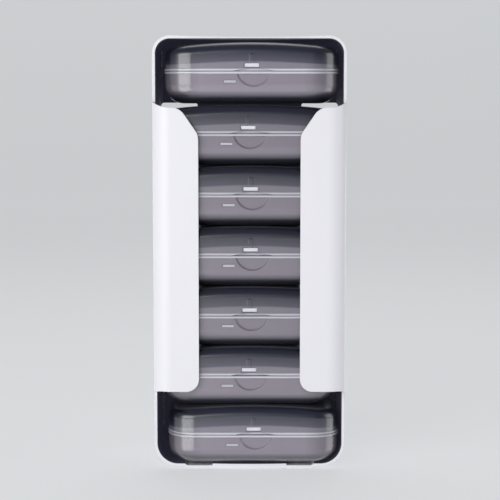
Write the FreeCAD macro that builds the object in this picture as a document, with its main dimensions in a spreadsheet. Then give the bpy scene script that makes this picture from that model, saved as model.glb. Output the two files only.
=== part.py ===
import FreeCAD, Part
import math
import os
import Sketcher

# Weekly pill organizer: a white sleeve holds a column of seven flip-lid boxes.
# Millimetres. +Z is up, the front faces -Y, the origin is the middle of the footprint.
# Box 1 is at the top. Boxes 1 and 7 slide out forwards through the open pockets.

doc = FreeCAD.newDocument("PillTower")

# ---------------------------------------------------------------- driving sizes
driving_sizes = [
    ("sleeve_width", 87.3, "outside width of the sleeve"),
    ("sleeve_depth", 52, "outside depth of the sleeve"),
    ("wall", 1.5, "wall of the sleeve"),
    ("fold_radius", 8, "outside bend from a side wall to its flap, seen from above"),
    ("shoulder_radius", 8, "outside radius of the two upper corners"),
    ("heel_radius", 11, "outside radius of the two lower corners"),
    ("roof_dip", 0.6, "how far the middle of the roof lies below its shoulders"),
    ("foot_drop", 1.0, "height of the flat foot below the heels"),
    ("foot_inset", 2.65, "flat left between the foot's slope and the heel"),
    ("foot_slope", 1.5, "run of the slope at each side of the foot"),
    ("flap_width", 20.85, "width of each flap, from the outside of its side wall"),
    ("flap_slope_run", 8.4, "width of the slanting upper corner of a flap"),
    ("flap_slope_rise", 12.2, "height of the slanting upper corner of a flap"),
    ("flap_bend", 7, "radius at both ends of the slant"),
    ("flap_toe", 5.8, "radius of the lower corner of a flap"),
    ("sweep_rise", 2.6, "rise of a flap's top edge around the bend into the side wall"),
    ("hem_run", 4.9, "length of the curve from a flap's lower edge into the side wall"),
    ("hem_drop", 1.1, "drop of that curve at the side wall"),
    ("flap_top_gap", 1.7, "from the top edge of the flaps up to box 1"),
    ("flap_foot_gap", 7.6, "from box 7 up to the lower edge of the flaps"),
    ("window_width", 17.4, "width of each back window, from the inside of its side wall"),
    ("window_lift", 1.8, "top of the back windows above the top of the flaps"),
    ("window_radius", 1.5, "corner radius of the back windows"),
    ("back_radius", 3, "outside radius of the two rear corners, seen from above"),
    ("lip_width", 34, "width of the lip at the front of the floor"),
    ("lip_bow", 0.8, "how far the middle of the lip bows forwards"),
    ("lip_depth", 1.6, "thickness of the lip at its ends"),
    ("lip_gap", 0.2, "from the lip up to box 7"),
    ("base_height", 14.25, "height of a tray"),
    ("lid_height", 12.85, "height of a lid at its crown"),
    ("side_gap", 2.95, "from a box to the side wall when it is centred"),
    ("front_gap", 1.2, "from a box to the inside of the flaps"),
    ("back_gap", 1.3, "from the hinge of a box to the back wall"),
    ("stack_gap", 0.15, "from one box to the next, and to the floor"),
    ("top_seat", 0.25, "how much higher box 1 sits than the even stack"),
    ("roof_gap", 0.95, "from lid 1 to the roof"),
    ("seam_gap", 0.15, "between a tray and its closed lid"),
    ("box_corner", 12, "radius of a box's upright corners"),
    ("corner_gap", 1.0, "how much tighter a tray's lower edge is than the heel"),
    ("lid_edge", 4.5, "rounding of a lid's upper edge"),
    ("lid_crown", 2.5, "rise of a lid's middle over its sides"),
    ("base_wall", 1.7, "wall of a tray"),
    ("lid_wall", 1.3, "wall of a lid"),
    ("rim_proud", 0.35, "how far the rims stand out at the seam"),
    ("rim_height", 1.0, "height of each rim"),
    ("recess_radius", 7.9, "thumb recess in a tray's front"),
    ("recess_lift", 1.0, "centre of the thumb recess above the tray's upper edge"),
    ("recess_depth", 0.7, "depth of the thumb recess"),
    ("recess_draft", 0.7, "how much smaller the floor of the recess is"),
    ("recess_offset", 0.8, "thumb recess to the right of the middle"),
    ("lift_width", 18, "scoop in a lid's rim above the recess"),
    ("lift_depth", 1.1, "height of that scoop"),
    ("port_width", 6.9, "window in a lid's front for the catch"),
    ("port_height", 2.0, "height of that window"),
    ("port_rise", 1.6, "from a lid's lower edge to its window"),
    ("rib_width", 2.0, "stiffening rib above the window"),
    ("rib_rise", 0.4, "from the window up to the rib"),
    ("rib_drop", 0.75, "top of the rib below the start of the lid's rounding"),
    ("rib_proud", 0.2, "how far the rib stands out"),
    ("divider_wall", 1.4, "wall between a tray's two compartments"),
    ("divider_rise", 5.5, "how far the divider reaches up into the lid"),
    ("divider_gap", 0.6, "from the divider to the inside of the lid"),
    ("pin_radius", 0.8, "hinge pin"),
    ("pin_gap", 0.1, "clearance around the hinge pin"),
    ("knuckle_wall", 0.75, "wall of a hinge knuckle around its bore"),
    ("knuckle_length", 8, "length of each hinge knuckle"),
    ("knuckle_gap", 0.3, "between neighbouring knuckles"),
    ("hinge_gap", 0.25, "from the rims to the hinge knuckles"),
    ("catch_width", 10, "plate of the snap catch"),
    ("catch_wall", 1.2, "thickness of the plate"),
    ("catch_lift", 0.9, "foot of the plate above the tray's rounded lower edge"),
    ("catch_rise", 0.6, "top of the plate above the start of the lid's rounding"),
    ("catch_gap", 0.2, "from the catch's nose to the edges of its window"),
    ("nose_inset", 0.3, "from the catch's nose back to the lid's front"),
    ("mark_width", 5.3, "pale bar on a tray's front"),
    ("mark_height", 1.1, "height of that bar"),
    ("mark_offset", 9.8, "centre of the bar to the left of the middle"),
    ("mark_drop", 4.5, "centre of the bar below the seam"),
    ("mark_depth", 0.5, "thickness of the bar"),
    ("mark_proud", 0.15, "how far the bar stands out"),
    ("mark_gap", 0.05, "clearance around the bar in its seat"),
    ("overcut", 1, "how far the cutting shapes reach past what they cut"),
    ("sway_1", 0.42, "box 1 lies this share of its side play to the right"),
    ("sway_2", -0.19, "box 2, the same"),
    ("sway_3", 0.21, "box 3"),
    ("sway_4", 0.2, "box 4"),
    ("sway_5", 0.02, "box 5"),
    ("sway_6", -0.08, "box 6"),
    ("sway_7", 0.73, "box 7"),
]

# Sizes that follow from the driving ones.
derived_sizes = [
    ("half_width", "dim.sleeve_width / 2"),
    ("half_depth", "dim.sleeve_depth / 2"),
    ("inner_half", "dim.sleeve_width / 2 - dim.wall"),
    ("fold_inner", "dim.fold_radius - dim.wall"),
    ("pocket_face", "dim.fold_radius - dim.sleeve_depth / 2"),
    ("floor_top", "dim.foot_drop + dim.wall"),
    ("foot_half", "half_width - dim.heel_radius - dim.foot_inset - dim.foot_slope"),
    ("box_height", "dim.base_height + dim.seam_gap + dim.lid_height"),
    ("pitch", "box_height + dim.stack_gap"),
    ("box_7_z", "floor_top + dim.stack_gap"),
    ("box_1_z", "box_7_z + 6 * pitch + dim.top_seat"),
    ("roof_inner", "box_1_z + box_height + dim.roof_gap"),
    ("shoulder_inner", "roof_inner + dim.roof_dip"),
    ("sleeve_height", "shoulder_inner + dim.wall"),
    ("roof_half", "half_width - dim.shoulder_radius"),
    ("roof_curve", "(roof_half ^ 2 + dim.roof_dip ^ 2) / (2 * dim.roof_dip)"),
    ("flap_top", "box_1_z - dim.flap_top_gap"),
    ("flap_foot", "box_7_z + box_height + dim.flap_foot_gap"),
    ("slot_half", "half_width - dim.flap_width"),
    ("strip_half", "inner_half - dim.window_width"),
    ("slant_half", "slot_half + dim.flap_slope_run"),
    ("slant", "sqrt(dim.flap_slope_run ^ 2 + dim.flap_slope_rise ^ 2)"),
    ("slant_turn", "(slant - dim.flap_slope_run) / dim.flap_slope_rise"),
    ("flap_edge", "half_width - dim.fold_radius - slant_half"),
    ("flap_bend", "min(dim.flap_bend; 0.9 * flap_edge / slant_turn)"),
    ("sweep_curve", "(dim.fold_radius ^ 2 + dim.sweep_rise ^ 2) / (2 * dim.sweep_rise)"),
    ("hem_curve", "(dim.hem_run ^ 2 + dim.hem_drop ^ 2) / (2 * dim.hem_drop)"),
    ("lip_top", "box_7_z - dim.lip_gap"),
    ("lip_half", "dim.lip_width / 2"),
    ("lip_curve", "(lip_half ^ 2 + dim.lip_bow ^ 2) / (2 * dim.lip_bow)"),
    ("knuckle_radius", "dim.pin_radius + dim.pin_gap + dim.knuckle_wall"),
    ("hinge_reach", "dim.rim_proud + dim.hinge_gap + 2 * knuckle_radius"),
    ("box_width", "dim.sleeve_width - 2 * dim.wall - 2 * dim.side_gap"),
    ("box_depth", "dim.sleeve_depth - 2 * dim.wall - dim.front_gap - dim.back_gap - hinge_reach"),
    ("box_half", "box_width / 2"),
    ("box_front", "dim.wall + dim.front_gap - half_depth"),
    ("base_edge", "dim.heel_radius - dim.wall - dim.corner_gap"),
    ("lid_side", "dim.lid_height - dim.lid_crown"),
    ("lid_round", "min(dim.lid_edge; lid_side - dim.rim_height / 2)"),
    ("crown_curve", "(box_half ^ 2 + dim.lid_crown ^ 2) / (2 * dim.lid_crown)"),
    ("recess_slope", "dim.recess_draft / dim.recess_depth"),
    ("lift_curve", "((dim.lift_width / 2) ^ 2 + dim.lift_depth ^ 2) / (2 * dim.lift_depth)"),
    ("hinge_y", "box_depth + dim.rim_proud + dim.hinge_gap + knuckle_radius"),
    ("lid_z", "dim.base_height + dim.seam_gap"),
    ("hinge_z", "dim.base_height + dim.seam_gap / 2"),
    ("bore_radius", "dim.pin_radius + dim.pin_gap"),
    ("lid_knuckle", "box_half - dim.box_corner - dim.knuckle_length"),
    ("base_knuckle", "lid_knuckle - dim.knuckle_gap - dim.knuckle_length"),
    ("rib_foot", "dim.port_rise + dim.port_height + dim.rib_rise"),
    ("dome_centre", "dim.lid_height - lid_round"),
    ("rib_top", "dome_centre - dim.rib_drop"),
    ("divider_y", "dim.base_wall + dim.catch_wall + dim.divider_gap"),
    ("catch_foot", "base_edge + dim.catch_lift"),
    ("catch_top", "lid_z + dome_centre + dim.catch_rise"),
    ("divider_step", "catch_foot - dim.divider_gap"),
    ("divider_top", "dim.base_height + dim.divider_rise"),
    ("side_play", "dim.side_gap - dim.rim_proud"),
]


def fill_sheet(name, rows):
    sheet = doc.addObject("Spreadsheet::Sheet", name)
    for row, (alias, content, note) in enumerate(rows, start=1):
        sheet.set("A%d" % row, alias)
        sheet.set("B%d" % row, content)
        sheet.setAlias("B%d" % row, alias)
        sheet.set("C%d" % row, note)
    doc.recompute()
    return sheet


dim = fill_sheet("dim", [(alias, str(value), note) for alias, value, note in driving_sizes])
fit = fill_sheet("fit", [(alias, "=" + formula, "derived") for alias, formula in derived_sizes])


def size(expression):
    return float(dim.evalExpression(expression))


# ---------------------------------------------------------------- building helpers
# A corner of an outline is (x, y), or (x, y, radius, side) when an arc leads on to the
# next corner: side 1 bulges outwards, side -1 inwards. Outlines run anticlockwise.
# A coordinate is an expression of the sheets' sizes, "0" for one that lies on an axis.

tiny = 0.01


def new_body(label):
    body = doc.addObject("PartDesign::Body", label)
    body.Label = label
    return body


def plane_of(body, role):
    return next(plane for plane in body.Origin.OriginFeatures if plane.Role == role)


def attach(body, feature, role, offsets):
    feature.AttachmentSupport = [(plane_of(body, role), "")]
    feature.MapMode = "FlatFace"
    for axis, expression in zip("xyz", offsets):
        if expression != "0":
            feature.setExpression("AttachmentOffset.Base." + axis, expression)


def hold_coordinate(sketch, kind, axis, edge, end, expression):
    if expression == "0":
        sketch.addConstraint(Sketcher.Constraint("PointOnObject", edge, end, axis))
        return
    constraint = Sketcher.Constraint(kind, -1, 1, edge, end, size(expression))
    index = sketch.addConstraint(constraint)
    sketch.setExpression("Constraints[%d]" % index, expression)


def arc_between(start, end, radius, side):
    chord = end - start
    middle = (start + end) * 0.5
    inward = FreeCAD.Vector(-chord.y, chord.x, 0).normalize() * side
    centre = middle + inward * math.sqrt(max(radius ** 2 - (chord.Length / 2) ** 2, 0))
    first, last = (start, end) if side > 0 else (end, start)
    first_angle = math.atan2(first.y - centre.y, first.x - centre.x)
    last_angle = math.atan2(last.y - centre.y, last.x - centre.x)
    circle = Part.Circle(centre, FreeCAD.Vector(0, 0, 1), radius)
    return Part.ArcOfCircle(circle, first_angle, last_angle)


def add_outline(sketch, corners):
    points = [FreeCAD.Vector(size(corner[0]), size(corner[1]), 0) for corner in corners]
    edges = []
    for number, corner in enumerate(corners):
        start = points[number]
        end = points[(number + 1) % len(points)]
        if len(corner) == 2:
            edge = sketch.addGeometry(Part.LineSegment(start, end), False)
            edges.append((edge, 1, 2))
            continue
        radius, side = corner[2:]
        edge = sketch.addGeometry(arc_between(start, end, size(radius), side), False)
        edges.append((edge, 1, 2) if side > 0 else (edge, 2, 1))
    for number, (edge, begin, finish) in enumerate(edges):
        follower, follower_begin, _ = edges[(number + 1) % len(edges)]
        sketch.addConstraint(Sketcher.Constraint("Coincident", edge, finish, follower, follower_begin))
    for corner, (edge, begin, finish) in zip(corners, edges):
        hold_coordinate(sketch, "DistanceX", -2, edge, begin, corner[0])
        hold_coordinate(sketch, "DistanceY", -1, edge, begin, corner[1])
        if len(corner) > 2:
            index = sketch.addConstraint(Sketcher.Constraint("Radius", edge, size(corner[2])))
            sketch.setExpression("Constraints[%d]" % index, corner[2])


def new_sketch(body, name, role, outlines, offset="0"):
    sketch = body.newObject("Sketcher::SketchObject", name)
    attach(body, sketch, role, ("0", "0", offset))
    for corners in outlines:
        add_outline(sketch, corners)
    return sketch


def rounded_rectangle(left, right, front, rear, radius):
    return [
        ("%s + %s" % (left, radius), front),
        ("%s - %s" % (right, radius), front, radius, 1),
        (right, "%s + %s" % (front, radius)),
        (right, "%s - %s" % (rear, radius), radius, 1),
        ("%s - %s" % (right, radius), rear),
        ("%s + %s" % (left, radius), rear, radius, 1),
        (left, "%s - %s" % (rear, radius)),
        (left, "%s + %s" % (front, radius), radius, 1),
    ]


def mirror_outline(corners):
    # the same outline on the other side of x = 0, again anticlockwise
    mirrored = []
    count = len(corners)
    for number in range(count - 1, -1, -1):
        x, y = corners[number][:2]
        arc = corners[number - 1][2:]
        mirrored.append(("-(%s)" % x if x != "0" else x, y) + tuple(arc))
    return mirrored


def extrude(body, kind, name, sketch, length, reverse=False, symmetric=False):
    before = 0 if body.Shape.isNull() else body.Shape.Volume
    feature = body.newObject("PartDesign::" + kind, name)
    feature.Profile = sketch
    feature.setExpression("Length", length)
    feature.Reversed = reverse
    if symmetric:
        feature.SideType = "Symmetric"
    doc.recompute()
    change = body.Shape.Volume - before
    if (kind == "Pad") != (change > 0):
        raise RuntimeError("%s of %s has the wrong direction" % (name, body.Label))
    return feature


def primitive(body, kind, name, role, offsets, **sizes):
    feature = body.newObject("PartDesign::" + kind, name)
    attach(body, feature, role, offsets)
    for prop, expression in sizes.items():
        feature.setExpression(prop, expression)
    doc.recompute()
    return feature


def round_edges(body, name, radius, chosen):
    base = body.Tip
    feature = body.newObject("PartDesign::Fillet", name)
    names = [
        "Edge%d" % number
        for number, edge in enumerate(base.Shape.Edges, start=1)
        if chosen(edge.BoundBox)
    ]
    if not names:
        raise RuntimeError("%s of %s finds no edges" % (name, body.Label))
    feature.Base = (base, names)
    feature.setExpression("Radius", radius)
    doc.recompute()
    return feature


def hollow_out(body, name, wall, opened):
    block = body.Tip
    feature = body.newObject("PartDesign::Thickness", name)
    faces = [
        "Face%d" % number
        for number, face in enumerate(block.Shape.Faces, start=1)
        if opened(face.BoundBox)
    ]
    feature.Base = (block, faces)
    feature.Reversed = True
    feature.setExpression("Value", wall)
    doc.recompute()
    if not 0 < body.Shape.Volume < block.Shape.Volume:
        raise RuntimeError("%s of %s isn't hollow" % (name, body.Label))
    return feature


def place(body, x, y, z):
    for axis, expression in zip("xyz", (x, y, z)):
        if expression != "0":
            body.setExpression("Placement.Base." + axis, expression)


# ---------------------------------------------------------------- the sleeve

def half_outline(corners):
    # the right-hand half, bottom to top, and its mirror image back down to a straight foot
    mirrored = mirror_outline(corners)
    mirrored[-1] = mirrored[-1][:2]
    return corners + mirrored


def sleeve_outside():
    # front view: flat foot, sloped sides, round heels and shoulders, dipped roof
    return half_outline([
        ("fit.foot_half", "0"),
        ("fit.foot_half + dim.foot_slope", "dim.foot_drop"),
        ("fit.half_width - dim.heel_radius", "dim.foot_drop", "dim.heel_radius", 1),
        ("fit.half_width", "dim.foot_drop + dim.heel_radius"),
        ("fit.half_width", "fit.sleeve_height - dim.shoulder_radius", "dim.shoulder_radius", 1),
        ("fit.roof_half", "fit.sleeve_height", "fit.roof_curve", -1),
    ])


def sleeve_inside():
    # the same outline, one wall further in
    heel = "dim.heel_radius - dim.wall"
    shoulder = "dim.shoulder_radius - dim.wall"
    return half_outline([
        ("fit.foot_half", "dim.wall"),
        ("fit.foot_half + dim.foot_slope", "fit.floor_top"),
        ("fit.half_width - dim.heel_radius", "fit.floor_top", heel, 1),
        ("fit.inner_half", "dim.foot_drop + dim.heel_radius"),
        ("fit.inner_half", "fit.sleeve_height - dim.shoulder_radius", shoulder, 1),
        ("fit.roof_half", "fit.shoulder_inner", "fit.roof_curve", -1),
    ])


def outside_fold():
    # seen from above: what the bend takes off the square front corner
    return [
        ("fit.half_width - dim.fold_radius", "-fit.half_depth - dim.overcut"),
        ("fit.half_width + dim.overcut", "-fit.half_depth - dim.overcut"),
        ("fit.half_width + dim.overcut", "fit.pocket_face"),
        ("fit.half_width", "fit.pocket_face", "dim.fold_radius", -1),
        ("fit.half_width - dim.fold_radius", "-fit.half_depth"),
    ]


def outside_back():
    # seen from above: what the rounded rear corner takes off
    return [
        ("fit.half_width", "fit.half_depth - dim.back_radius"),
        ("fit.half_width + dim.overcut", "fit.half_depth - dim.back_radius"),
        ("fit.half_width + dim.overcut", "fit.half_depth + dim.overcut"),
        ("fit.half_width - dim.back_radius", "fit.half_depth + dim.overcut"),
        ("fit.half_width - dim.back_radius", "fit.half_depth", "dim.back_radius", -1),
    ]


def inside_fold():
    # seen from above: the bend's own wall, in the square corner of the hollow
    return [
        ("fit.inner_half - fit.fold_inner", "dim.wall / 2 - fit.half_depth"),
        ("fit.half_width - dim.wall / 2", "dim.wall / 2 - fit.half_depth"),
        ("fit.half_width - dim.wall / 2", "fit.pocket_face"),
        ("fit.inner_half", "fit.pocket_face", "fit.fold_inner", -1),
        ("fit.inner_half - fit.fold_inner", "dim.wall - fit.half_depth"),
    ]


def front_opening():
    # front view: the lower pocket, the slot between the flaps and the upper pocket
    return half_outline([
        ("fit.half_width + dim.overcut", "-dim.overcut"),
        ("fit.half_width + dim.overcut", "fit.flap_foot - dim.hem_drop"),
        ("fit.half_width", "fit.flap_foot - dim.hem_drop", "fit.hem_curve", 1),
        ("fit.half_width - dim.hem_run", "fit.flap_foot"),
        ("fit.slot_half", "fit.flap_foot"),
        ("fit.slot_half", "fit.flap_top - dim.flap_slope_rise"),
        ("fit.slant_half", "fit.flap_top"),
        ("fit.half_width - dim.fold_radius", "fit.flap_top", "fit.sweep_curve", 1),
        ("fit.half_width", "fit.flap_top + dim.sweep_rise"),
        ("fit.half_width + dim.overcut", "fit.flap_top + dim.sweep_rise"),
        ("fit.half_width + dim.overcut", "fit.sleeve_height + dim.overcut"),
    ])


def back_window():
    return rounded_rectangle(
        "fit.strip_half", "fit.inner_half",
        "fit.flap_foot", "fit.flap_top + dim.window_lift",
        "dim.window_radius",
    )


def lip_outline():
    # seen from above: a thin bar whose front bows forwards
    return [
        ("-fit.lip_half", "fit.pocket_face", "fit.lip_curve", 1),
        ("fit.lip_half", "fit.pocket_face"),
        ("fit.lip_half", "fit.pocket_face + dim.lip_depth"),
        ("-fit.lip_half", "fit.pocket_face + dim.lip_depth"),
    ]


def make_sleeve():
    body = new_body("sleeve")
    tall = "fit.sleeve_height + 2 * dim.overcut"

    outside = new_sketch(body, "SleeveOutside", "XZ_Plane", [sleeve_outside()])
    extrude(body, "Pad", "SleeveBlock", outside, "dim.sleeve_depth", symmetric=True)

    inside = new_sketch(body, "SleeveInside", "XZ_Plane", [sleeve_inside()])
    extrude(body, "Pocket", "SleeveHollow", inside, "dim.sleeve_depth - 2 * dim.wall", symmetric=True)

    fold = inside_fold()
    filling = new_sketch(body, "FoldWalls", "XY_Plane", [fold, mirror_outline(fold)], "fit.floor_top")
    extrude(body, "Pad", "SleeveFolds", filling, "fit.shoulder_inner - fit.floor_top")

    corners = []
    for outline in (outside_fold(), outside_back()):
        corners += [outline, mirror_outline(outline)]
    rounding = new_sketch(body, "SleeveCorners", "XY_Plane", corners, "-dim.overcut")
    extrude(body, "Pocket", "SleeveBends", rounding, tall, reverse=True)

    opening = new_sketch(
        body, "FrontOpening", "XZ_Plane", [front_opening()], "fit.half_depth + dim.overcut")
    extrude(body, "Pocket", "SleeveFront", opening, "dim.fold_radius + dim.overcut")

    window = back_window()
    windows = new_sketch(
        body, "BackWindows", "XZ_Plane", [window, mirror_outline(window)],
        "-fit.half_depth - dim.overcut")
    extrude(body, "Pocket", "SleeveBack", windows, "dim.wall + dim.overcut", reverse=True)

    lip = new_sketch(body, "LipOutline", "XY_Plane", [lip_outline()])
    extrude(body, "Pad", "SleeveLip", lip, "fit.lip_top")

    slot = size("fit.slot_half")
    slant = size("fit.slant_half")
    top = size("fit.flap_top")
    foot = size("fit.flap_foot")
    bend = size("fit.flap_top - dim.flap_slope_rise")

    def on_flap(box, x, z):
        return (
            box.YLength > tiny
            and box.XLength < tiny
            and box.ZLength < tiny
            and abs(abs(box.XMin) - x) < tiny
            and abs(box.ZMin - z) < tiny
        )

    round_edges(
        body, "FlapBends", "fit.flap_bend",
        lambda box: on_flap(box, slot, bend) or on_flap(box, slant, top))
    round_edges(body, "FlapToes", "dim.flap_toe", lambda box: on_flap(box, slot, foot))
    return body


# ---------------------------------------------------------------- the boxes
# A box's own frame: x = 0 in its middle, y = 0 at its front, z = 0 under its tray.

def box_outline(inset):
    return rounded_rectangle(
        "-fit.box_half + " + inset, "fit.box_half - " + inset,
        inset, "fit.box_depth - " + inset,
        "(dim.box_corner - %s)" % inset,
    )


def rim_outlines(wall):
    # an outline that stands out of the wall, and the hollow inside the wall
    proud = rounded_rectangle(
        "-fit.box_half - dim.rim_proud", "fit.box_half + dim.rim_proud",
        "-dim.rim_proud", "fit.box_depth + dim.rim_proud",
        "(dim.box_corner + dim.rim_proud)",
    )
    return [proud, box_outline(wall)]


def add_knuckles(body, start, z, web_z, web_height):
    # two knuckles and the webs that carry them, then the bore for the pin
    for name, x in (("Right", start), ("Left", "-%s - dim.knuckle_length" % start)):
        primitive(
            body, "AdditiveCylinder", name + "Knuckle", "YZ_Plane", ("fit.hinge_y", z, x),
            Radius="fit.knuckle_radius", Height="dim.knuckle_length")
        primitive(
            body, "AdditiveBox", name + "Web", "XY_Plane",
            (x, "fit.box_depth - dim.lid_wall / 2", web_z),
            Length="dim.knuckle_length", Width="fit.hinge_y - fit.box_depth + dim.lid_wall / 2",
            Height=web_height)
    primitive(
        body, "SubtractiveCylinder", "HingeBore", "YZ_Plane",
        ("fit.hinge_y", z, "-fit.box_half"),
        Radius="fit.bore_radius", Height="fit.box_width")


def divider_outline():
    # side view: stands on the tray's floor, clears the catch and the closed lid
    seat = "dim.base_wall / 2"
    back = "fit.box_depth - "
    curve = "fit.base_edge - dim.base_wall / 2"
    return [
        ("fit.base_edge", seat),
        (back + "fit.base_edge", seat, curve, 1),
        (back + seat, "fit.base_edge"),
        (back + seat, "fit.divider_step"),
        (back + "fit.divider_y", "fit.divider_step"),
        (back + "fit.divider_y", "fit.divider_top"),
        ("fit.divider_y", "fit.divider_top"),
        ("fit.divider_y", "fit.divider_step"),
        (seat, "fit.divider_step"),
        (seat, "fit.base_edge", curve, 1),
    ]


def make_base(number):
    body = new_body("base_%d" % number)
    outside = new_sketch(body, "TrayOutside", "XY_Plane", [box_outline("0")])
    extrude(body, "Pad", "TrayBlock", outside, "dim.base_height")
    round_edges(body, "TrayUnderside", "fit.base_edge", lambda box: box.ZMax < tiny)

    height = size("dim.base_height")
    hollow_out(body, "TrayShell", "dim.base_wall", lambda box: box.ZMin > height - tiny)

    primitive(
        body, "SubtractiveCone", "ThumbRecess", "XZ_Plane",
        ("dim.recess_offset", "dim.base_height + dim.recess_lift", "-dim.recess_depth"),
        Radius1="dim.recess_radius - dim.recess_draft",
        Radius2="dim.recess_radius + dim.overcut * fit.recess_slope",
        Height="dim.recess_depth + dim.overcut")
    primitive(
        body, "SubtractiveBox", "MarkSeat", "XY_Plane",
        ("-dim.mark_offset - dim.mark_width / 2 - dim.mark_gap", "-dim.overcut",
         "dim.base_height - dim.mark_drop - dim.mark_height / 2 - dim.mark_gap"),
        Length="dim.mark_width + 2 * dim.mark_gap",
        Width="dim.overcut + dim.mark_depth - dim.mark_proud",
        Height="dim.mark_height + 2 * dim.mark_gap")

    rim = new_sketch(
        body, "TrayRimOutline", "XY_Plane", rim_outlines("dim.base_wall"),
        "dim.base_height - dim.rim_height")
    extrude(body, "Pad", "TrayRim", rim, "dim.rim_height")
    divider = new_sketch(body, "DividerOutline", "YZ_Plane", [divider_outline()])
    extrude(body, "Pad", "Divider", divider, "dim.divider_wall", symmetric=True)
    add_knuckles(
        body, "fit.base_knuckle", "fit.hinge_z",
        "fit.hinge_z - fit.knuckle_radius", "fit.knuckle_radius - dim.seam_gap / 2")
    return body


def crown_outline():
    # front view: everything above the crowned top of the lid
    return [
        ("-fit.box_half - dim.overcut", "fit.lid_side"),
        ("-fit.box_half", "fit.lid_side", "fit.crown_curve", -1),
        ("fit.box_half", "fit.lid_side"),
        ("fit.box_half + dim.overcut", "fit.lid_side"),
        ("fit.box_half + dim.overcut", "dim.lid_height + dim.overcut"),
        ("-fit.box_half - dim.overcut", "dim.lid_height + dim.overcut"),
    ]


def make_lid(number):
    body = new_body("lid_%d" % number)
    outside = new_sketch(body, "LidOutside", "XY_Plane", [box_outline("0")])
    extrude(body, "Pad", "LidBlock", outside, "dim.lid_height")
    crown = new_sketch(body, "CrownOutline", "XZ_Plane", [crown_outline()], "dim.overcut")
    extrude(body, "Pocket", "LidCrown", crown, "fit.box_depth + 2 * dim.overcut")
    side = size("fit.lid_side")
    round_edges(body, "LidDome", "fit.lid_round", lambda box: box.ZMin > side - 1)

    hollow_out(body, "LidShell", "dim.lid_wall", lambda box: box.ZMax < tiny)

    rim = new_sketch(body, "LidRimOutline", "XY_Plane", rim_outlines("dim.lid_wall"))
    extrude(body, "Pad", "LidRim", rim, "dim.rim_height")
    primitive(
        body, "AdditiveBox", "LidRib", "XY_Plane",
        ("-dim.rib_width / 2", "-dim.rib_proud", "fit.rib_foot"),
        Length="dim.rib_width", Width="dim.rib_proud + dim.lid_wall / 2",
        Height="fit.rib_top - fit.rib_foot")
    primitive(
        body, "SubtractiveBox", "CatchPort", "XY_Plane",
        ("-dim.port_width / 2", "-dim.overcut", "dim.port_rise"),
        Length="dim.port_width", Width="dim.lid_wall + 2 * dim.overcut", Height="dim.port_height")
    primitive(
        body, "SubtractiveCylinder", "LiftScoop", "XZ_Plane",
        ("dim.recess_offset", "dim.lift_depth - fit.lift_curve", "-dim.lid_wall / 2"),
        Radius="fit.lift_curve", Height="dim.lid_wall / 2 + dim.rim_proud + dim.overcut")
    add_knuckles(
        body, "fit.lid_knuckle", "-dim.seam_gap / 2",
        "0", "fit.knuckle_radius - dim.seam_gap / 2")
    return body


def make_hinge_pin(number):
    body = new_body("hinge_pin_%d" % number)
    primitive(
        body, "AdditiveCylinder", "PinRod", "YZ_Plane",
        ("fit.hinge_y", "fit.hinge_z", "-fit.lid_knuckle - dim.knuckle_length"),
        Radius="dim.pin_radius", Height="2 * (fit.lid_knuckle + dim.knuckle_length)")
    return body


def make_catch(number):
    # a plate behind the seam, with a nose that fills the lid's window
    body = new_body("catch_%d" % number)
    primitive(
        body, "AdditiveBox", "CatchPlate", "XY_Plane",
        ("-dim.catch_width / 2", "dim.base_wall", "fit.catch_foot"),
        Length="dim.catch_width", Width="dim.catch_wall",
        Height="fit.catch_top - fit.catch_foot")
    primitive(
        body, "AdditiveBox", "CatchNose", "XY_Plane",
        ("dim.catch_gap - dim.port_width / 2", "dim.nose_inset",
         "fit.lid_z + dim.port_rise + dim.catch_gap"),
        Length="dim.port_width - 2 * dim.catch_gap",
        Width="dim.base_wall + dim.catch_wall / 2 - dim.nose_inset",
        Height="dim.port_height - 2 * dim.catch_gap")
    return body


def make_day_mark(number):
    body = new_body("day_mark_%d" % number)
    primitive(
        body, "AdditiveBox", "MarkBar", "XY_Plane",
        ("-dim.mark_offset - dim.mark_width / 2", "-dim.mark_proud",
         "dim.base_height - dim.mark_drop - dim.mark_height / 2"),
        Length="dim.mark_width", Width="dim.mark_depth", Height="dim.mark_height")
    return body


# ---------------------------------------------------------------- the assembly

box_count = 7
pieces = [make_sleeve()]

for number in range(1, box_count + 1):
    x = "dim.sway_%d * fit.side_play" % number
    z = "fit.box_1_z" if number == 1 else "fit.box_7_z + %d * fit.pitch" % (box_count - number)
    for make, rise in (
        (make_base, "0"),
        (make_lid, "fit.lid_z"),
        (make_hinge_pin, "0"),
        (make_catch, "0"),
        (make_day_mark, "0"),
    ):
        piece = make(number)
        place(piece, x, "fit.box_front", "%s + %s" % (z, rise))
        pieces.append(piece)

doc.recompute()

for item in doc.Objects:
    if {"Invalid", "Error"} & set(item.State):
        raise RuntimeError("%s failed: %s" % (item.Name, item.State))

os.makedirs("parts", exist_ok=True)
for piece in pieces:
    shape = piece.Shape
    if shape.isNull() or not shape.isValid() or len(shape.Solids) != 1:
        raise RuntimeError("%s is not one valid solid" % piece.Label)
    shape.exportStep("parts/%s.step" % piece.Label)
    print("%-14s %9.1f mm3" % (piece.Label, shape.Volume))
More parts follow.
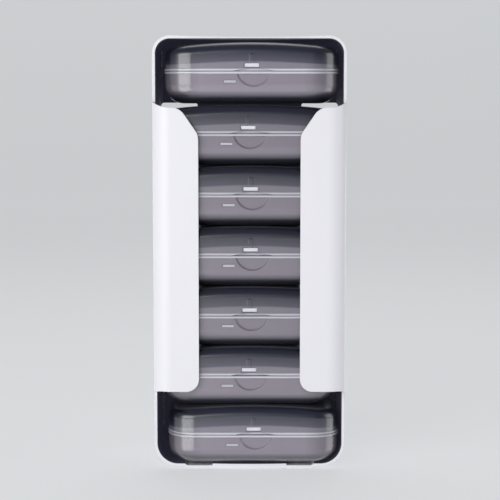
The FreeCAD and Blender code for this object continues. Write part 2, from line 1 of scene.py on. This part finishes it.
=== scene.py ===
import math
import bpy
import bmesh
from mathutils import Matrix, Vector


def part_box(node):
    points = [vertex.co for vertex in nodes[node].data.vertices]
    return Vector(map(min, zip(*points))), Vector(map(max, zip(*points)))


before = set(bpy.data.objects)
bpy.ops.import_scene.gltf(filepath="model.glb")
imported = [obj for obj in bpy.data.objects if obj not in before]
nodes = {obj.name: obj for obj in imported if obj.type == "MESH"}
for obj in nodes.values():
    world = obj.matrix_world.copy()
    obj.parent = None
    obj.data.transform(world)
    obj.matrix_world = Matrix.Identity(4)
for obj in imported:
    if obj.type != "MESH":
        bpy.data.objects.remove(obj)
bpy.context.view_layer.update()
boxCount = 7
perMetre = 1000.0    # millimetres
edgeSamples = 4      # rays that look for each soft edge

# Camera: places in millimetres, for a square render.
camera = {
    "lens": 105.1,
    "sensor": 36.0,
    "right": 0.25,
    "ahead": 676.0,      # in front of the sleeve's middle
    "height": 171.3,
    "tilt": 6.08,        # degrees, looking down
    "nearest": 20.0,
    "farthest": 20000.0,
}

# Lamps: place, aim and size in millimetres, power in watts.
lamps = {
    "keyLeft": {"place": (-560, -900, 330), "aim": (0, -10, 95), "size": (1000, 570), "power": 7.3},
    "farLeft": {"place": (-1020, -640, 330), "aim": (0, -10, 95), "size": (620, 570), "power": 0.4},
    "sideRight": {"place": (900, -150, 300), "aim": (0, -10, 95), "size": (560, 520), "power": 1.7},
    "top": {"place": (0, 330, 800), "aim": (0, 0, 120), "size": (700, 500), "power": 1.7},
}
room = {"colour": (0.90, 0.91, 0.94), "strength": 0.21}

# Floor and backdrop in one sweep, in metres.
sweep = {
    "width": 10.0, "front": -5.0, "back": 1.6, "radius": 0.7, "steps": 14,
    "colour": (0.88, 0.89, 0.90), "roughness": 0.7,
    "glow": (0.80, 0.82, 0.84), "glowShare": 0.6,
    "polish": 0.9, "polishRoughness": 0.1,   # seen only in the object's own gloss
}


def toMetres(values):
    return Vector(values) / perMetre


def makeCamera():
    data = bpy.data.cameras.new("camera")
    data.lens = camera["lens"]
    data.sensor_width = camera["sensor"]
    data.clip_start = camera["nearest"] / perMetre
    data.clip_end = camera["farthest"] / perMetre
    eye = bpy.data.objects.new("camera", data)
    eye.location = toMetres((camera["right"], -camera["ahead"], camera["height"]))
    eye.rotation_euler = (math.radians(90 - camera["tilt"]), 0, 0)
    bpy.context.scene.collection.objects.link(eye)
    bpy.context.scene.camera = eye


def makeLamps():
    for name, lamp in lamps.items():
        data = bpy.data.lights.new(name, "AREA")
        data.shape = "RECTANGLE"
        data.size, data.size_y = (side / perMetre for side in lamp["size"])
        data.energy = lamp["power"]
        holder = bpy.data.objects.new(name, data)
        place, aim = toMetres(lamp["place"]), toMetres(lamp["aim"])
        holder.location = place
        holder.rotation_euler = (aim - place).to_track_quat("-Z", "Y").to_euler()
        bpy.context.scene.collection.objects.link(holder)
    world = bpy.data.worlds.new("room")
    world.use_nodes = True
    background = world.node_tree.nodes["Background"]
    background.inputs["Color"].default_value = (*room["colour"], 1)
    background.inputs["Strength"].default_value = room["strength"]
    bpy.context.scene.world = world


def newMaterial(name):
    material = bpy.data.materials.new(name)
    material.use_nodes = True
    tree = material.node_tree
    return material, tree, tree.nodes["Principled BSDF"]


def feed(tree, socket, value):
    if isinstance(value, bpy.types.NodeSocket):
        tree.links.new(value, socket)
    elif isinstance(value, tuple) and len(value) == 3 and len(socket.default_value) == 4:
        socket.default_value = (*value, 1)
    else:
        socket.default_value = value


def addNode(tree, kind, places=(), settings=(), **sockets):
    # places fills the first sockets in order, settings the node's own choices
    node = tree.nodes.new("ShaderNode" + kind)
    for key, value in settings:
        setattr(node, key, value)
    for place, value in enumerate(places):
        feed(tree, node.inputs[place], value)
    for key, value in sockets.items():
        feed(tree, node.inputs[key], value)
    return node


def calc(tree, operation, *values):
    return addNode(tree, "Math", values, [("operation", operation)]).outputs[0]


def mixColour(tree, share, first, second, blendType="MIX"):
    # the colours go in at sockets 6 and 7 and come out at 2
    node = addNode(tree, "Mix", [share], [("data_type", "RGBA"), ("blend_type", blendType)])
    feed(tree, node.inputs[6], first)
    feed(tree, node.inputs[7], second)
    return node.outputs[2]


def ramp(tree, share, stops):
    node = addNode(tree, "ValToRGB", [share])
    band = node.color_ramp
    while len(band.elements) < len(stops):
        band.elements.new(0.5)
    for element, (place, colour) in zip(band.elements, stops):
        element.position = place
        element.color = (*colour, 1)
    return node.outputs["Color"]


def objectPlace(tree):
    return addNode(tree, "TexCoord").outputs["Object"]


def split(tree, place):
    return addNode(tree, "SeparateXYZ", [place]).outputs[:3]


def stretch(tree, value, low, high):
    # 0 at low, 1 at high
    return addNode(tree, "MapRange", [value, low, high, 0.0, 1.0]).outputs[0]


def noise(tree, place, scale, detail):
    return addNode(tree, "TexNoise", Vector=place, Scale=scale, Detail=detail).outputs[0]


def softEdges(tree, radius):
    return addNode(tree, "Bevel", settings=[("samples", edgeSamples)], Radius=radius).outputs[0]


def dress(names, material):
    for name in names:
        nodes[name].data.materials.clear()
        nodes[name].data.materials.append(material)


def named(kind):
    return ["%s_%d" % (kind, number) for number in range(1, boxCount + 1)]


# The sleeve: white outside, dark inside. Lengths are in metres.
sleeveFinish = {
    "white": (0.868, 0.86, 0.9),
    "cloudScale": 28.0,    # slow change of the white and of its sheen
    "cloudDetail": 3.0,
    "cloudRange": (0.25, 0.75),   # the part of the noise that is spread from 0 to 1
    "cloudShade": 0.985,
    "cloudSheen": 0.06,
    "grainScale": 2600.0,
    "grainDetail": 2.0,
    "grainStrength": 0.05,
    "grainHeight": 0.0001,
    "inside": (0.055, 0.054, 0.072),
    "insideGlow": (0.60, 0.58, 1.0),   # stray light in the narrow gaps beside the boxes
    "insideGlowStrength": 0.018,
    "roughness": 0.38,
    "insideRoughness": 0.8,
    "wall": 0.0015,
    "insideFrom": (0.00025, 0.0001),   # the dark starts this far before the wall's inner face
    "fold": 0.008,       # outside radius of the front bends
    "rear": 0.003,       # outside radius of the rear corners
    "shoulder": 0.008,
    "heel": 0.011,
    "footDrop": 0.0010,
    "edge": 0.0003,
}


def roundedDepth(tree, x, y, halfX, halfY, radius):
    # how deep a point lies under the skin of a rounded rectangle
    across = calc(tree, "ADD", calc(tree, "ABSOLUTE", x), calc(tree, "SUBTRACT", radius, halfX))
    along = calc(tree, "ADD", calc(tree, "ABSOLUTE", y), calc(tree, "SUBTRACT", radius, halfY))
    outX = calc(tree, "POWER", calc(tree, "MAXIMUM", across, 0.0), 2.0)
    outY = calc(tree, "POWER", calc(tree, "MAXIMUM", along, 0.0), 2.0)
    corner = calc(tree, "SQRT", calc(tree, "ADD", outX, outY))
    flat = calc(tree, "MINIMUM", calc(tree, "MAXIMUM", across, along), 0.0)
    return calc(tree, "SUBTRACT", radius, calc(tree, "ADD", corner, flat))


def eitherRadius(tree, isSecond, first, second):
    return calc(tree, "ADD", first, calc(tree, "MULTIPLY", isSecond, second - first))


def sleeveMaterial():
    look = sleeveFinish
    material, tree, shader = newMaterial("whiteSleevePlastic")
    place = objectPlace(tree)
    x, y, z = split(tree, place)
    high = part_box("sleeve")[1]
    halfX, halfY = high.x, high.y
    isRear = calc(tree, "GREATER_THAN", y, 0.0)
    radius = eitherRadius(tree, isRear, look["fold"], look["rear"])
    level = roundedDepth(tree, x, y, halfX, halfY, radius)
    middle = (high.z + look["footDrop"]) / 2
    halfZ = (high.z - look["footDrop"]) / 2
    fromMiddle = calc(tree, "SUBTRACT", z, middle)
    isTop = calc(tree, "GREATER_THAN", fromMiddle, 0.0)
    radius = eitherRadius(tree, isTop, look["heel"], look["shoulder"])
    upright = roundedDepth(tree, x, fromMiddle, halfX, halfZ, radius)
    depth = calc(tree, "MINIMUM", level, upright)
    inside = stretch(tree, depth, *(look["wall"] - before for before in look["insideFrom"]))
    cloud = noise(tree, place, look["cloudScale"], look["cloudDetail"])
    shade = stretch(tree, cloud, *look["cloudRange"])
    duller = tuple(value * look["cloudShade"] for value in look["white"])
    white = mixColour(tree, shade, duller, look["white"])
    tree.links.new(mixColour(tree, inside, white, look["inside"]), shader.inputs["Base Color"])
    shader.inputs["Emission Color"].default_value = (*look["insideGlow"], 1)
    stray = calc(tree, "MULTIPLY", inside, look["insideGlowStrength"])
    tree.links.new(stray, shader.inputs["Emission Strength"])
    least = look["roughness"] - look["cloudSheen"] / 2
    rough = calc(tree, "ADD", least, calc(tree, "MULTIPLY", shade, look["cloudSheen"]))
    rougher = calc(tree, "MULTIPLY", inside, look["insideRoughness"] - look["roughness"])
    tree.links.new(calc(tree, "ADD", rough, rougher), shader.inputs["Roughness"])
    grain = addNode(
        tree, "Bump", Strength=look["grainStrength"], Distance=look["grainHeight"],
        Height=noise(tree, place, look["grainScale"], look["grainDetail"]),
        Normal=softEdges(tree, look["edge"]))
    tree.links.new(grain.outputs[0], shader.inputs["Normal"])
    return material


# The boxes: smoke-grey trays and lids, whose bands hold painted shade and painted highlights on the
# rims. Lengths are in millimetres, and heights are above the underside of a box's own tray.
smokeFinish = {
    "roughness": 0.36,
    "cloudScale": 90.0,    # slow change of the tone and of its sheen
    "cloudDetail": 2.0,
    "cloudShade": 0.03,
    "cloudSheen": 0.04,
    "flowScale": 120.0,    # faint flow lines of the moulding
    "flowDetail": 1.0,
    "flowStrength": 0.025,
    "flowHeight": 0.1,
    "ior": 1.5,
    "gloss": 0.8,        # a polished skin over the softer sheen
    "glossRoughness": 0.17,
    "glossIor": 1.6,
    "edge": 0.5,
    "endStart": 23.0,    # painted shade: the rounded ends are coloured darker, as they turn from the light and are seen through more plastic
    "endStop": 37.0,
    "endPaintedShade": 0.44,
    "arch": 628.0,       # the lid's bands follow its crown: they drop by x * x / arch
    "archFrom": 15.6,
    "archFull": 18.0,
    "height": 27.25,
    # painted light: the tray darkens towards its rounded bottom as painted shade of the gap below it,
    # and its rim is a painted highlight with a dimmer line at the seam
    "trayBands": [
        (0.0, (0.008, 0.009, 0.014)),
        (2.2, (0.012, 0.012, 0.020)),
        (3.6, (0.060, 0.055, 0.074)),
        (5.7, (0.208, 0.185, 0.228)),
        (9.0, (0.208, 0.184, 0.227)),
        (13.1, (0.204, 0.181, 0.223)),
        (13.3, (0.57, 0.56, 0.63)),
        (13.8, (0.57, 0.56, 0.63)),
        (13.9, (0.44, 0.43, 0.49)),
    ],
    # painted light: the lid's rim is a painted highlight with a dimmer line at the seam, its dome
    # darkens upwards as painted shade, and the last stop is a painted highlight along the crown
    "lidBands": [
        (14.75, (0.44, 0.43, 0.49)),
        (14.85, (0.55, 0.54, 0.61)),
        (15.4, (0.55, 0.54, 0.61)),
        (15.6, (0.192, 0.179, 0.216)),
        (18.3, (0.166, 0.154, 0.194)),
        (19.0, (0.047, 0.044, 0.074)),
        (20.6, (0.026, 0.025, 0.052)),
        (22.2, (0.005, 0.006, 0.021)),
        (26.8, (0.005, 0.007, 0.023)),
        (27.0, (0.110, 0.111, 0.135)),
    ],
    "paintedLightLift": {1: 1.22, 6: 1.1, 7: 1.18},   # painted light: these boxes' colours are brightened, as the open pockets let more light onto them
    "lowestTrayPaintedLight": (0.060, 0.058, 0.074),      # painted light: tray 7's darkest colours are raised to this, for the light from the lip under it
}


def smokeMaterial(name, kind, number):
    look = smokeFinish
    material, tree, shader = newMaterial(name)
    place = objectPlace(tree)
    x, _, z = split(tree, place)
    low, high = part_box("base_%d" % number)
    across = calc(tree, "MULTIPLY", calc(tree, "SUBTRACT", x, (low.x + high.x) / 2), perMetre)
    above = calc(tree, "MULTIPLY", calc(tree, "SUBTRACT", z, low.z), perMetre)
    if kind == "lid":
        drop = calc(tree, "DIVIDE", calc(tree, "POWER", across, 2.0), look["arch"])
        isCurved = stretch(tree, above, look["archFrom"], look["archFull"])
        above = calc(tree, "ADD", above, calc(tree, "MULTIPLY", drop, isCurved))
    # painted light: brightened copies of the band colours for boxes 1, 6 and 7
    paintedLift = look["paintedLightLift"].get(number, 1.0)
    # painted light: tray 7's darkest band colours are raised
    least = look["lowestTrayPaintedLight"] if (kind, number) == ("tray", boxCount) else (0, 0, 0)
    stops = [
        (height / look["height"], tuple(max(value * paintedLift, limit) for value, limit in zip(colour, least)))
        for height, colour in look[kind + "Bands"]
    ]
    tone = ramp(tree, calc(tree, "DIVIDE", above, look["height"]), stops)
    cloud = noise(tree, place, look["cloudScale"], look["cloudDetail"])
    # painted shade on the rounded ends of each box
    atEnd = stretch(tree, calc(tree, "ABSOLUTE", across), look["endStart"], look["endStop"])
    shade = calc(tree, "SUBTRACT", 1.0, calc(tree, "MULTIPLY", atEnd, 1.0 - look["endPaintedShade"]))
    cloudy = calc(tree, "MULTIPLY", cloud, look["cloudShade"])
    shade = calc(tree, "MULTIPLY", shade, calc(tree, "ADD", 1.0 - look["cloudShade"], cloudy))
    tree.links.new(mixColour(tree, 1.0, tone, shade, "MULTIPLY"), shader.inputs["Base Color"])
    least = look["roughness"] - look["cloudSheen"] / 2
    rough = calc(tree, "ADD", least, calc(tree, "MULTIPLY", cloud, look["cloudSheen"]))
    tree.links.new(rough, shader.inputs["Roughness"])
    shader.inputs["IOR"].default_value = look["ior"]
    shader.inputs["Coat Weight"].default_value = look["gloss"]
    shader.inputs["Coat Roughness"].default_value = look["glossRoughness"]
    shader.inputs["Coat IOR"].default_value = look["glossIor"]
    edges = softEdges(tree, look["edge"] / perMetre)
    flow = addNode(
        tree, "Bump", Strength=look["flowStrength"], Distance=look["flowHeight"] / perMetre,
        Height=noise(tree, place, look["flowScale"], look["flowDetail"]), Normal=edges)
    tree.links.new(flow.outputs[0], shader.inputs["Normal"])
    tree.links.new(edges, shader.inputs["Coat Normal"])
    return material


# The catches and the bars, and the hinge pins. The edge is in metres.
palePlastic = {
    "catch": (0.80, 0.79, 0.87),
    "bar": (0.55, 0.53, 0.60),
    "speckScale": 600.0,
    "speckDetail": 2.0,
    "speckShade": 0.92,
    "roughness": 0.42,
    "edge": 0.0002,
}
pinSteel = {
    "colour": (0.55, 0.55, 0.57),
    "lineScale": (40.0, 4000.0, 4000.0),   # drawn lines along the pin
    "lineDetail": 2.0,
    "lineShade": 0.8,
    "lineRange": (-0.5, 2.0),    # the noise at which the roughness would be 0 and 1
}


def paleMaterial(name, colour):
    look = palePlastic
    material, tree, shader = newMaterial(name)
    specks = noise(tree, objectPlace(tree), look["speckScale"], look["speckDetail"])
    duller = tuple(value * look["speckShade"] for value in colour)
    tree.links.new(mixColour(tree, specks, duller, colour), shader.inputs["Base Color"])
    shader.inputs["Roughness"].default_value = look["roughness"]
    tree.links.new(softEdges(tree, look["edge"]), shader.inputs["Normal"])
    return material


def steelMaterial():
    look = pinSteel
    material, tree, shader = newMaterial("hingePinSteel")
    drawn = addNode(tree, "Mapping", Vector=objectPlace(tree), Scale=look["lineScale"])
    lines = noise(tree, drawn.outputs[0], 1.0, look["lineDetail"])
    duller = tuple(value * look["lineShade"] for value in look["colour"])
    tree.links.new(mixColour(tree, lines, duller, look["colour"]), shader.inputs["Base Color"])
    shader.inputs["Metallic"].default_value = 1.0
    tree.links.new(stretch(tree, lines, *look["lineRange"]), shader.inputs["Roughness"])
    return material


def floorMaterial():
    material, tree, shader = newMaterial("paleFloor")
    shader.inputs["Base Color"].default_value = (*sweep["colour"], 1)
    shader.inputs["Roughness"].default_value = sweep["roughness"]
    glow = addNode(tree, "Emission", Color=sweep["glow"], Strength=1.0)
    pale = addNode(tree, "MixShader", [sweep["glowShare"], shader.outputs[0], glow.outputs[0]])
    isGloss = addNode(tree, "LightPath").outputs["Is Glossy Ray"]
    polish = calc(tree, "MULTIPLY", isGloss, sweep["polish"])
    mirror = addNode(tree, "BsdfAnisotropic", Color=polish, Roughness=sweep["polishRoughness"])
    both = addNode(tree, "AddShader", [pale.outputs[0], mirror.outputs[0]])
    tree.links.new(both.outputs[0], tree.nodes["Material Output"].inputs["Surface"])
    return material


def makeFloor():
    mesh = bpy.data.meshes.new("floor")
    shape = bmesh.new()
    half = sweep["width"] / 2
    start = [shape.verts.new((side * half, sweep["front"], 0)) for side in (-1, 1)]
    edge = shape.edges.new(start)
    moved = bmesh.ops.extrude_edge_only(shape, edges=[edge])["geom"]
    ends = [v for v in moved if isinstance(v, bmesh.types.BMVert)]
    bmesh.ops.translate(shape, verts=ends, vec=(0, sweep["back"] - sweep["front"], 0))
    edge = next(e for e in moved if isinstance(e, bmesh.types.BMEdge))
    bmesh.ops.spin(
        shape, geom=[edge, *ends], cent=(0, sweep["back"], sweep["radius"]), axis=(1, 0, 0),
        dvec=(0, 0, 0), angle=math.pi / 2, steps=sweep["steps"], use_duplicate=False)
    shape.to_mesh(mesh)
    shape.free()
    mesh.materials.append(floorMaterial())
    floor = bpy.data.objects.new("floor", mesh)
    bpy.context.scene.collection.objects.link(floor)
    for face in mesh.polygons:
        face.use_smooth = True


bpy.context.scene.view_settings.view_transform = "Standard"
makeCamera()
makeLamps()
print("camera and lamps are in place")
makeFloor()
print("floor is laid")
dress(["sleeve"], sleeveMaterial())
for number, (tray, lid) in enumerate(zip(named("base"), named("lid")), 1):
    dress([tray], smokeMaterial("smokeTrayPlastic%d" % number, "tray", number))
    dress([lid], smokeMaterial("smokeLidPlastic%d" % number, "lid", number))
dress(named("catch"), paleMaterial("paleCatchPlastic", palePlastic["catch"]))
dress(named("day_mark"), paleMaterial("paleBarPrint", palePlastic["bar"]))
dress(named("hinge_pin"), steelMaterial())
print("materials are on")
